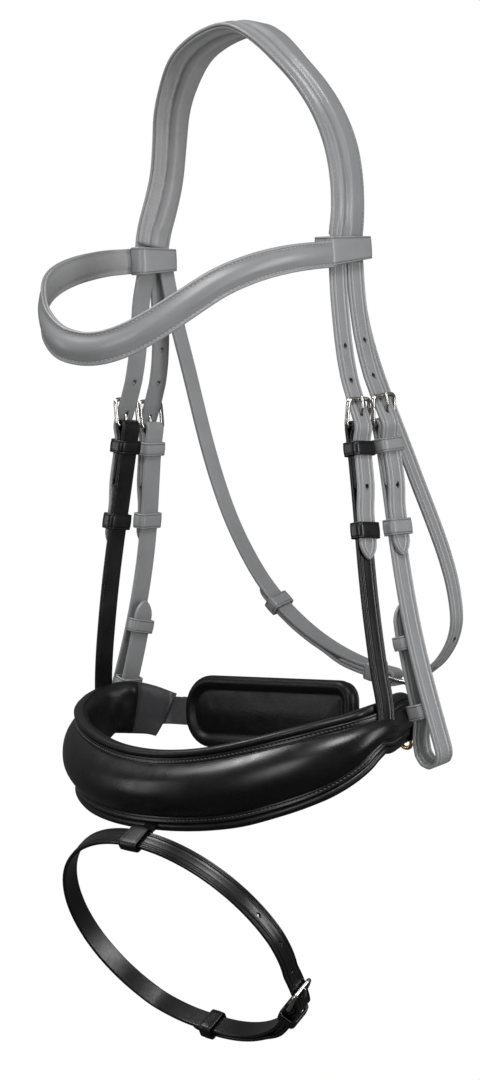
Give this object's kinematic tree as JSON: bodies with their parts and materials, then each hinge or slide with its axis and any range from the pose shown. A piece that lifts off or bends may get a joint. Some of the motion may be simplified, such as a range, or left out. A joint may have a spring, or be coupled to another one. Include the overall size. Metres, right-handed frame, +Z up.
{
  "type": "horse bridle",
  "caption": "Leather horse bridle with padded headpiece, browband, cheekpieces with bit loops, throatlash and a padded crank noseband with a flash strap.",
  "frame": {"origin": "middle of the headpiece's padded underside, where it rests on the horse's poll", "axes": "+Z up, +X to the horse's left (near side), -Y to the front, where the browband and the noseband's padded front are"},
  "size_m": [0.3093, 0.2867, 0.7081],
  "materials": {
    "grey_leather": "grey bridle leather, fine grain, creased and stitched edges, soft semi-gloss",
    "grey_lining": "soft grey calf lining leather, matt",
    "black_leather": "black bridle leather, fine grain, rolled and stitched, semi-gloss",
    "padded_lining": "soft black padding leather, matt",
    "stainless_steel": "polished stainless steel wire",
    "brass": "polished brass wire"
  },
  "bodies": {
    "headpiece": {"headpiece_outer": "grey_leather", "headpiece_padding": "grey_lining"},
    "browband": {"browband_face": "grey_leather", "browband_lining": "grey_lining", "browband_loop_near": "grey_leather", "browband_loop_far": "grey_leather"},
    "noseband": {"noseband_billet_near": "grey_leather", "noseband_hanger_near": "black_leather", "noseband_buckle_near": "stainless_steel", "noseband_keeper_fixed_near": "black_leather", "noseband_billet_far": "grey_leather", "noseband_hanger_far": "black_leather", "noseband_buckle_far": "stainless_steel", "noseband_keeper_fixed_far": "black_leather", "noseband_core": "black_leather", "noseband_lining": "padded_lining", "noseband_cover": "black_leather", "crank_strap": "black_leather", "crank_buckle_chape": "black_leather", "crank_buckle": "stainless_steel", "crank_keeper": "black_leather", "crank_ring_near": "brass", "crank_ring_chape": "black_leather"},
    "noseband_tongue_near": {"noseband_tongue_near": "stainless_steel"},
    "noseband_keeper_near": {"noseband_keeper_sliding_near": "black_leather"},
    "noseband_tongue_far": {"noseband_tongue_far": "stainless_steel"},
    "noseband_keeper_far": {"noseband_keeper_sliding_far": "black_leather"},
    "cheek_near": {"cheek_billet_near": "grey_leather", "cheekpiece_near": "grey_leather", "cheek_buckle_near": "stainless_steel", "cheek_keeper_fixed_near": "grey_leather", "bit_keeper_upper_near": "grey_leather", "bit_keeper_lower_near": "grey_leather"},
    "cheek_tongue_near": {"cheek_tongue_near": "stainless_steel"},
    "cheek_keeper_near": {"cheek_keeper_sliding_near": "grey_leather"},
    "cheek_far": {"cheek_billet_far": "grey_leather", "cheekpiece_far": "grey_leather", "cheek_buckle_far": "stainless_steel", "cheek_keeper_fixed_far": "grey_leather", "bit_keeper_upper_far": "grey_leather", "bit_keeper_lower_far": "grey_leather"},
    "cheek_tongue_far": {"cheek_tongue_far": "stainless_steel"},
    "cheek_keeper_far": {"cheek_keeper_sliding_far": "grey_leather"},
    "throatlash": {"throatlash_billet_near": "grey_leather", "throatlash_strap_far": "grey_leather", "throatlash_buckle": "stainless_steel", "throatlash_keeper_fixed": "grey_leather"},
    "throatlash_tongue": {"throatlash_tongue": "stainless_steel"},
    "throatlash_keeper": {"throatlash_keeper_sliding": "grey_leather"},
    "flash": {"flash_tab": "black_leather", "flash_strap": "black_leather", "flash_buckle": "stainless_steel", "flash_keeper_fixed": "black_leather"},
    "flash_tongue": {"flash_tongue": "stainless_steel"},
    "flash_keeper": {"flash_keeper_sliding": "black_leather"},
    "crank_tongue": {"crank_tongue": "stainless_steel"},
    "chin_pad": {"chin_pad_cushion": "padded_lining", "chin_pad_backing": "black_leather", "chin_pad_loop_near": "black_leather", "chin_pad_loop_far": "black_leather"}
  },
  "joints": [
    {"name": "browband_slide", "type": "slide", "parent": "headpiece", "child": "browband", "axis": [0, 0, 1], "range_m": [0, 0.003]},
    {"name": "noseband_swing", "type": "hinge", "parent": "headpiece", "child": "noseband", "pos_m": [0.09411, 0.00041, -0.18073], "axis": [0.9997, 0.0248, -0.0065], "range_deg": [-15, 0]},
    {"name": "cheek_near_swing", "type": "hinge", "parent": "headpiece", "child": "cheek_near", "pos_m": [0.09344, 0.01865, -0.17279], "axis": [0, -1, 0], "range_deg": [0, 22]},
    {"name": "cheek_far_swing", "type": "hinge", "parent": "headpiece", "child": "cheek_far", "pos_m": [-0.09387, 0.01233, -0.17152], "axis": [0, 1, 0], "range_deg": [0, 22]},
    {"name": "throatlash_swing", "type": "hinge", "parent": "headpiece", "child": "throatlash", "pos_m": [0.08932, 0.02679, -0.17853], "axis": [0.9991, 0.0431, -0.0026], "range_deg": [-8, 18]},
    {"name": "flash_swing", "type": "hinge", "parent": "noseband", "child": "flash", "pos_m": [0, -0.10418, -0.54522], "axis": [1, 0, 0], "range_deg": [-12, 14]},
    {"name": "chin_pad_slide", "type": "slide", "parent": "noseband", "child": "chin_pad", "axis": [1, 0, 0], "range_m": [-0.008, 0.008]},
    {"name": "noseband_tongue_near_play", "type": "hinge", "parent": "noseband", "child": "noseband_tongue_near", "pos_m": [0.11171, -0.00119, -0.27201], "axis": [0, 1, 0.0069], "range_deg": [0, 8]},
    {"name": "noseband_tongue_far_play", "type": "hinge", "parent": "noseband", "child": "noseband_tongue_far", "pos_m": [-0.11149, -0.00095, -0.27074], "axis": [0, -0.9998, 0.0174], "range_deg": [0, 8]},
    {"name": "cheek_tongue_near_play", "type": "hinge", "parent": "cheek_near", "child": "cheek_tongue_near", "pos_m": [0.11621, 0.0202, -0.26935], "axis": [0, 0.9865, 0.1636], "range_deg": [0, 8]},
    {"name": "cheek_tongue_far_play", "type": "hinge", "parent": "cheek_far", "child": "cheek_tongue_far", "pos_m": [-0.11656, 0.02754, -0.27199], "axis": [0, -0.9994, 0.0344], "range_deg": [0, 8]},
    {"name": "throatlash_tongue_play", "type": "hinge", "parent": "throatlash", "child": "throatlash_tongue", "pos_m": [0.05094, 0.10111, -0.44922], "axis": [-0.1889, 0.9771, 0.0978], "range_deg": [0, 8]},
    {"name": "flash_tongue_play", "type": "hinge", "parent": "flash", "child": "flash_tongue", "pos_m": [0.06431, -0.01706, -0.66018], "axis": [0, 0.797, 0.604], "range_deg": [0, 8]},
    {"name": "crank_tongue_play", "type": "hinge", "parent": "noseband", "child": "crank_tongue", "pos_m": [-0.017, 0.0526, -0.4755], "axis": [0, 0, 1], "range_deg": [0, 8]},
    {"name": "noseband_keeper_near_slide", "type": "slide", "parent": "noseband", "child": "noseband_keeper_near", "axis": [0.1472, -0.0385, -0.9884], "range_m": [-0.008, 0.006]},
    {"name": "noseband_keeper_far_slide", "type": "slide", "parent": "noseband", "child": "noseband_keeper_far", "axis": [-0.1455, -0.0526, -0.988], "range_m": [-0.008, 0.006]},
    {"name": "cheek_keeper_near_slide", "type": "slide", "parent": "cheek_near", "child": "cheek_keeper_near", "axis": [0.1496, 0.0358, -0.9881], "range_m": [-0.008, 0.006]},
    {"name": "cheek_keeper_far_slide", "type": "slide", "parent": "cheek_far", "child": "cheek_keeper_far", "axis": [-0.1442, 0.0371, -0.9889], "range_m": [-0.008, 0.006]},
    {"name": "throatlash_keeper_slide", "type": "slide", "parent": "throatlash", "child": "throatlash_keeper", "axis": [-0.6697, -0.1695, 0.723], "range_m": [-0.006, 0.005]},
    {"name": "flash_keeper_slide", "type": "hinge", "parent": "flash", "child": "flash_keeper", "pos_m": [-0.011, -0.0466, -0.6212], "axis": [0, 0.797, 0.604], "range_deg": [-4, 4]}
  ]
}
